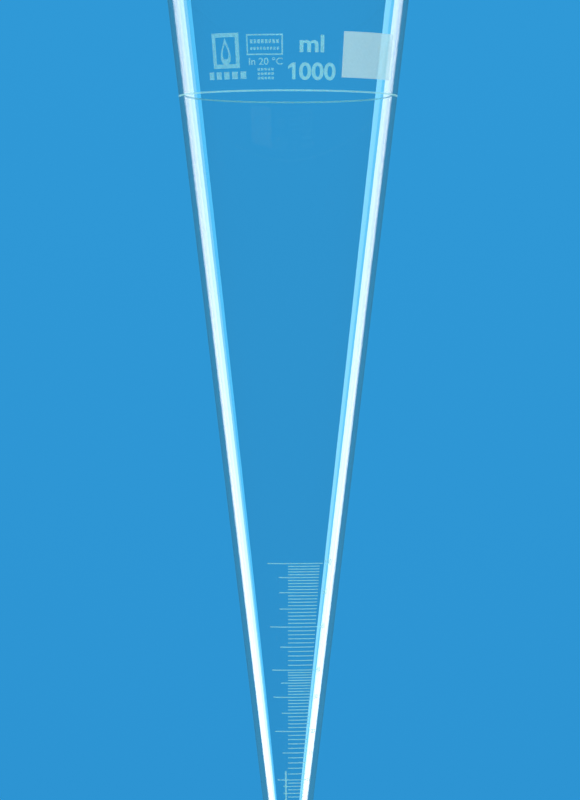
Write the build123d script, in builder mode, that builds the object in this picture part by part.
from build123d import *
import math
import os

# Graduated settling cone of borosilicate glass with a drain stopcock at its tip.
# Frame: +Z runs up the cone's axis and the origin is the centre of the outlet stem's lower end.
# The printed front faces -Y. The stopcock's axis lies along X, with the handle on the +X side.
# At rest the stopcock is shut: the key's cross bore and the handle both lie along Y.

# --- Driving dimensions, in millimetres unless a name says otherwise ---------------------------

# Glass cone
inner_taper = 0.12              # inner radius gained per unit of height
capacity = 1000.0               # millilitres at the ring mark
freeboard = 62.0                # ring mark up to the rim
wall_at_rim = 2.3               # measured level, from the inner to the outer cone
wall_at_foot = 2.5
rim_bead_radius = 2.2
foot_blend_radius = 80.0        # where the straight neck turns into the outer cone

# Glass stopcock housing and outlet stem
flow_bore_radius = 2.0          # neck, barrel walls and the key's cross bore
stem_length = 38.0              # end of the stem up to the seam under the barrel
key_rise = 12.0                 # that seam up to the stopcock's axis
neck_height = 18.0              # stopcock axis up to the seam under the cone
neck_radius = 5.5
stem_radius = 4.0
stub_radius = 4.6               # thicker glass between the stem's seam and the barrel
stub_flare = 2.0                # height over which the stem's radius grows to the stub's
stem_bore_radius = 2.6
stem_bore_length = 30.0         # wider bore, from the stem's end
stem_bore_funnel = 4.0          # height of the cone that narrows it to the flow bore
barrel_length = 30.0
barrel_bore_large = 14.5        # bore diameter at the handle end
barrel_taper = 0.2              # bore diameter lost per unit of length
barrel_wall = 2.5
barrel_bead_radius = 1.7
side_arm_blend = 2.0            # fillet where neck and stem leave the barrel

# Stopcock key and the pieces that hold it
key_clearance = 0.05            # radial, key in barrel
key_head_proud = 2.0            # key beyond the barrel's large end
key_recess = 0.5                # key's taper stops inside the barrel's small end
drive_width = 7.0               # square drive under the handle
drive_length = 9.0
tail_clearance = 0.35           # thread's crest inside the barrel's small end, to pass through it
thread_depth = 0.65
thread_pitch = 1.5
shank_length = 2.5              # plain shank before the thread
thread_length = 12.0
flat_depth = 0.5                # two flats, this far under the thread's root, hold the washer
tail_chamfer = 0.6
seat_gap = 0.1                  # between stopcock pieces that turn on each other
slip_gap = 0.05                 # between pieces that turn together
washer_inset = 0.35             # washer's edge inside the barrel's small end
washer_thickness = 1.2
o_ring_section = 2.0            # diameter of the ring's round section
nut_wall = 4.0                  # threaded bore to the nut's edge
nut_length = 8.0
nut_scallops = 12
nut_scallop_radius = 1.3
nut_chamfer = 0.8

# Handle
handle_span = 42.0
handle_waist = 8.5              # thickness of the grip, seen from its edge
handle_depth = 10.5             # grip's size along the stopcock's axis
handle_collar_radius = 7.4
handle_end_wall = 2.2
handle_edge_fillet = 1.6
handle_stand_off = 1.8          # collar under the grip

# Fired enamel print
enamel_thickness = 0.15
enamel_gap = 0.05               # keeps the print's faces clear of the glass's faces
line_width = 0.45
ring_line_width = 0.8
lowest_mark = 0.5               # millilitres
short_ticks = (0.0, 36.0)       # azimuths in degrees from the front, towards +X
middle_ticks = (-10.0, 36.0)
long_ticks = (-22.5, 40.0)
panel_azimuths = (28.3, 64.0)
panel_above_ring = (6.2, 27.2)
notice_azimuths = (-20.9, -2.5)
notice_above_ring = (16.4, 25.3)
notice_line = 0.5
notice_bars = 2
notice_bar_height = 1.9
notice_inset = 1.3              # level distance from the frame to the bars' ends

# --- Sizes that follow ---------------------------------------------------------------------------

key_axis_z = stem_length + key_rise
seam_z = key_axis_z + neck_height
virtual_tip_z = seam_z - flow_bore_radius / inner_taper
key_axis = Axis((0, 0, key_axis_z), (1, 0, 0))
key_plane = Plane(origin=(0, 0, key_axis_z), x_dir=(1, 0, 0), z_dir=(0, -1, 0))
large_end_x = barrel_length / 2
small_end_x = -barrel_length / 2


def mark_z(millilitres):
    """Height where the straight inner cone, run on to its virtual tip, holds this much."""
    cubic_mm = millilitres * 1000.0
    return virtual_tip_z + (3 * cubic_mm / (math.pi * inner_taper**2)) ** (1 / 3)


ring_z = mark_z(capacity)
rim_z = ring_z + freeboard
foot_z = virtual_tip_z + (neck_radius - wall_at_foot) / inner_taper


def inner_radius(z):
    return inner_taper * (z - virtual_tip_z)


def wall(z):
    """The wall thins evenly from the foot to the rim."""
    share = (z - foot_z) / (rim_z - foot_z)
    return wall_at_foot + share * (wall_at_rim - wall_at_foot)


def outer_radius(z):
    return inner_radius(z) + wall(z)


def across_key(x):
    """Plane square to the stopcock's axis, centred on it, with its X along the row's Y."""
    return Plane(origin=(x, 0, key_axis_z), x_dir=(0, 1, 0), z_dir=(1, 0, 0))


def barrel_bore_radius(x):
    """Radius of the tapered bore at a station along the stopcock's axis."""
    return (barrel_bore_large - barrel_taper * (large_end_x - x)) / 2


# --- Glass -----------------------------------------------------------------------------------------

# Cone: one revolved wall, with its bore drawn out to the flow bore at the foot and a fire-polished
# bead around the rim that is flush inside.
bead_z = rim_z - rim_bead_radius
bead_centre_r = inner_radius(bead_z) + rim_bead_radius

with BuildPart() as cone_vessel:
    with BuildSketch(Plane.XZ) as wall_section:
        Polygon(
            (flow_bore_radius, seam_z),
            (neck_radius, seam_z),
            (neck_radius, foot_z),
            (outer_radius(bead_z), bead_z),
            (inner_radius(bead_z), bead_z),
            align=None,
        )
        foot_corner = wall_section.vertices().sort_by(Axis.Y)[2]
        fillet(foot_corner, foot_blend_radius)
        with Locations((bead_centre_r, bead_z)):
            Circle(rim_bead_radius)
    revolve(axis=Axis.Z)

# Housing: the barrel across, with the neck up to the cone's seam and a stub down to the stem's
# seam. Tapered and straight bores are cut through the blown shape.
small_outer = barrel_bore_radius(small_end_x) + barrel_wall
large_outer = barrel_bore_radius(large_end_x) + barrel_wall

with BuildPart() as stopcock_housing:
    with BuildSketch(key_plane):
        Polygon(
            (small_end_x, 0),
            (small_end_x, small_outer),
            (large_end_x, large_outer),
            (large_end_x, 0),
            align=None,
        )
        with Locations(
            (small_end_x + barrel_bead_radius, small_outer - barrel_bead_radius / 2),
            (large_end_x - barrel_bead_radius, large_outer - barrel_bead_radius / 2),
        ):
            Circle(barrel_bead_radius)
    revolve(axis=key_axis)
    with BuildSketch(Plane.XY.offset(key_axis_z)):
        Circle(neck_radius)
    extrude(amount=neck_height)
    fillet(stopcock_housing.edges(Select.NEW), side_arm_blend)
    with BuildSketch(Plane.XZ):
        Polygon(
            (0, stem_length),
            (stem_radius, stem_length),
            (stub_radius, stem_length + stub_flare),
            (stub_radius, key_axis_z),
            (0, key_axis_z),
            align=None,
        )
    revolve(axis=Axis.Z)
    fillet(stopcock_housing.edges(Select.NEW), side_arm_blend)
    with BuildSketch(key_plane):
        Polygon(
            (small_end_x, 0),
            (small_end_x, barrel_bore_radius(small_end_x)),
            (large_end_x, barrel_bore_radius(large_end_x)),
            (large_end_x, 0),
            align=None,
        )
    revolve(axis=key_axis, mode=Mode.SUBTRACT)
    with BuildSketch(Plane.XY.offset(stem_length)):
        Circle(flow_bore_radius)
    extrude(amount=key_rise + neck_height, mode=Mode.SUBTRACT)

# Outlet stem: a straight tube, ground square at its end, with a bore that narrows at the top.
with BuildPart() as outlet_stem:
    with BuildSketch(Plane.XZ):
        Polygon(
            (stem_bore_radius, 0),
            (stem_radius, 0),
            (stem_radius, stem_length),
            (flow_bore_radius, stem_length),
            (flow_bore_radius, stem_bore_length + stem_bore_funnel),
            (stem_bore_radius, stem_bore_length),
            align=None,
        )
    revolve(axis=Axis.Z)

# --- Stopcock key and its fastening ------------------------------------------------------------------

key_large_x = large_end_x + key_head_proud
key_small_x = small_end_x + key_recess
thread_start_x = key_small_x - shank_length
tail_x = thread_start_x - thread_length
thread_radius = barrel_bore_radius(small_end_x) - tail_clearance
thread_root = thread_radius - thread_depth
shank_flats = 2 * (thread_root - flat_depth)


def key_radius(x):
    return barrel_bore_radius(x) - key_clearance


# Key: a tapered plug with a cross bore, a square drive for the handle and a threaded tail with
# two flats.
with BuildPart() as stopcock_key:
    with BuildSketch(key_plane):
        Polygon(
            (key_small_x, 0),
            (key_small_x, key_radius(key_small_x)),
            (key_large_x, key_radius(key_large_x)),
            (key_large_x, 0),
            align=None,
        )
        Polygon(
            (tail_x, 0),
            (tail_x, thread_root - tail_chamfer),
            (tail_x + tail_chamfer, thread_root),
            (key_small_x, thread_root),
            (key_small_x, 0),
            align=None,
        )
        ridges = int((thread_length - tail_chamfer) / thread_pitch)
        for ridge in range(ridges):
            ridge_x = thread_start_x - (ridge + 0.5) * thread_pitch
            Polygon(
                (ridge_x - thread_pitch * 0.45, thread_root - 0.1),
                (ridge_x - thread_pitch * 0.12, thread_radius),
                (ridge_x + thread_pitch * 0.12, thread_radius),
                (ridge_x + thread_pitch * 0.45, thread_root - 0.1),
                align=None,
            )
    revolve(axis=key_axis)
    with BuildSketch(across_key(tail_x)):
        Circle(thread_radius + slip_gap)
        Rectangle(shank_flats, 2 * (thread_radius + slip_gap), mode=Mode.SUBTRACT)
    extrude(amount=key_small_x - tail_x, mode=Mode.SUBTRACT)
    with BuildSketch(across_key(key_large_x)):
        Rectangle(drive_width, drive_width)
    extrude(amount=drive_length)
    with BuildSketch(Plane.XZ):
        with Locations((0, key_axis_z)):
            Circle(flow_bore_radius)
    extrude(amount=barrel_bore_large, both=True, mode=Mode.SUBTRACT)

# Handle: a cross grip with a round collar, pushed over the square drive. Its grip lies the same way
# as the cross bore.
collar_x = key_large_x + slip_gap
grip_x = collar_x + handle_stand_off
socket_depth = drive_length + slip_gap
handle_end_x = max(grip_x + handle_depth, collar_x + socket_depth + handle_end_wall)

with BuildPart() as key_handle:
    with BuildSketch(across_key(grip_x)):
        SlotOverall(handle_span, handle_waist)
        Circle(handle_collar_radius)
    extrude(amount=handle_end_x - grip_x)
    fillet(key_handle.faces().sort_by(Axis.X)[-1].edges(), handle_edge_fillet)
    with BuildSketch(across_key(collar_x)):
        Circle(handle_collar_radius)
    extrude(amount=handle_stand_off)
    with BuildSketch(across_key(collar_x)):
        Rectangle(drive_width + 2 * slip_gap, drive_width + 2 * slip_gap)
    extrude(amount=socket_depth, mode=Mode.SUBTRACT)

# Washer: sits against the barrel's small end and is kept from turning by the tail's flats.
washer_x = small_end_x - seat_gap
washer_radius = small_outer - washer_inset
with BuildPart() as key_washer:
    with BuildSketch(across_key(washer_x - washer_thickness)):
        Circle(washer_radius)
        with BuildSketch(mode=Mode.SUBTRACT):
            Circle(thread_radius + slip_gap)
            Rectangle(
                shank_flats + 2 * slip_gap,
                2 * (thread_radius + slip_gap),
                mode=Mode.INTERSECT,
            )
    extrude(amount=washer_thickness)

# O-ring: keeps the nut's pull springy.
o_ring_radius = thread_radius + slip_gap + o_ring_section / 2
o_ring_x = washer_x - washer_thickness - slip_gap - o_ring_section / 2
with BuildPart() as key_o_ring:
    with BuildSketch(key_plane):
        with Locations((o_ring_x, o_ring_radius)):
            Circle(o_ring_section / 2)
    revolve(axis=key_axis)

# Nut: scalloped round the edge for two fingers, and screwed along the key's tail.
nut_x = o_ring_x - o_ring_section / 2 - seat_gap
nut_radius = thread_radius + seat_gap + nut_wall
with BuildPart() as retaining_nut:
    with BuildSketch(key_plane):
        Polygon(
            (nut_x - nut_length, 0),
            (nut_x - nut_length, nut_radius - nut_chamfer),
            (nut_x - nut_length + nut_chamfer, nut_radius),
            (nut_x - nut_chamfer, nut_radius),
            (nut_x, nut_radius - nut_chamfer),
            (nut_x, 0),
            align=None,
        )
    revolve(axis=key_axis)
    with BuildSketch(across_key(nut_x - nut_length)):
        with PolarLocations(nut_radius + nut_scallop_radius / 2, nut_scallops):
            Circle(nut_scallop_radius)
        Circle(thread_radius + seat_gap)
    extrude(amount=nut_length, mode=Mode.SUBTRACT)

# --- Print -------------------------------------------------------------------------------------------


def print_plane(azimuth):
    """Upright plane through the axis at an azimuth from the front, with its X pointing outwards."""
    turn = math.radians(azimuth - 90)
    outward = (math.cos(turn), math.sin(turn), 0)
    return Plane(origin=(0, 0, 0), x_dir=outward, z_dir=(outward[1], -outward[0], 0))


def print_section(z_low, z_high):
    """Section of an enamel patch that follows the outer cone between two heights."""
    low = outer_radius(z_low) + enamel_gap
    high = outer_radius(z_high) + enamel_gap
    Polygon(
        (low, z_low),
        (low + enamel_thickness, z_low),
        (high + enamel_thickness, z_high),
        (high, z_high),
        align=None,
    )


def printed(bands, azimuths):
    """Enamel between two azimuths, with one patch for each (low, high) pair of heights."""
    with BuildPart() as enamel:
        with BuildSketch(print_plane(azimuths[0])):
            for z_low, z_high in bands:
                print_section(z_low, z_high)
        revolve(axis=Axis.Z, revolution_arc=azimuths[1] - azimuths[0])
    return enamel


def line_band(z, width):
    return (z - width / 2, z + width / 2)


def printed_ticks(volumes, azimuths):
    """One level line for each volume."""
    return printed([line_band(mark_z(volume), line_width) for volume in volumes], azimuths)


# The scale's steps widen as the cone does. Each row: first mark, last mark and step in tenths of a
# millilitre, then how many steps lie between middle marks and between long marks.
scale_rows = (
    (round(lowest_mark * 10), 20, 1, 5, 10),
    (25, 100, 5, 2, 10),
    (110, 400, 10, 5, 10),
    (420, 1000, 20, 5, 30),
)
short_volumes, middle_volumes, long_volumes = [], [], []
for first, last, step, middle_every, long_every in scale_rows:
    for tenths in range(first, last + 1, step):
        steps = tenths // step
        if steps % long_every == 0 or tenths == last:
            long_volumes.append(tenths / 10)
        elif steps % middle_every == 0:
            middle_volumes.append(tenths / 10)
        else:
            short_volumes.append(tenths / 10)

ring_mark = printed([line_band(ring_z, ring_line_width)], (0, 360))
short_graduations = printed_ticks(short_volumes, short_ticks)
middle_graduations = printed_ticks(middle_volumes, middle_ticks)
long_graduations = printed_ticks(long_volumes, long_ticks)

panel_low, panel_high = (ring_z + above for above in panel_above_ring)
writing_panel = printed([(panel_low, panel_high)], panel_azimuths)

# A plain framed notice: two upright sides, a top, a bottom and bars in place of words.
notice_low, notice_high = (ring_z + above for above in notice_above_ring)
left, right = notice_azimuths
side_turn = math.degrees(notice_line / outer_radius(notice_low))
inset_turn = math.degrees(notice_inset / outer_radius(notice_low))
bar_pitch = (notice_high - notice_low) / (notice_bars + 1)
bar_heights = [notice_low + (bar + 1) * bar_pitch for bar in range(notice_bars)]

with BuildPart() as notice_frame:
    add(printed([line_band(z, notice_line) for z in (notice_low, notice_high)], notice_azimuths))
    for side in (left, right - side_turn):
        add(printed([(notice_low, notice_high)], (side, side + side_turn)))
    bars = printed([line_band(z, notice_bar_height) for z in bar_heights],
                   (left + inset_turn, right - inset_turn))
    add(bars)

# --- Output ------------------------------------------------------------------------------------------

nodes = {
    "cone_vessel": cone_vessel,
    "stopcock_housing": stopcock_housing,
    "outlet_stem": outlet_stem,
    "stopcock_key": stopcock_key,
    "key_handle": key_handle,
    "key_washer": key_washer,
    "key_o_ring": key_o_ring,
    "retaining_nut": retaining_nut,
    "ring_mark": ring_mark,
    "short_graduations": short_graduations,
    "middle_graduations": middle_graduations,
    "long_graduations": long_graduations,
    "writing_panel": writing_panel,
    "notice_frame": notice_frame,
}

os.makedirs("parts", exist_ok=True)
for name, piece in nodes.items():
    piece.part.label = name
    export_step(piece.part, f"parts/{name}.step")

print("ring mark at", round(ring_z, 2), "rim at", round(rim_z, 2))
print("marks:", len(short_volumes), "short,", len(middle_volumes), "middle,", len(long_volumes), "long")
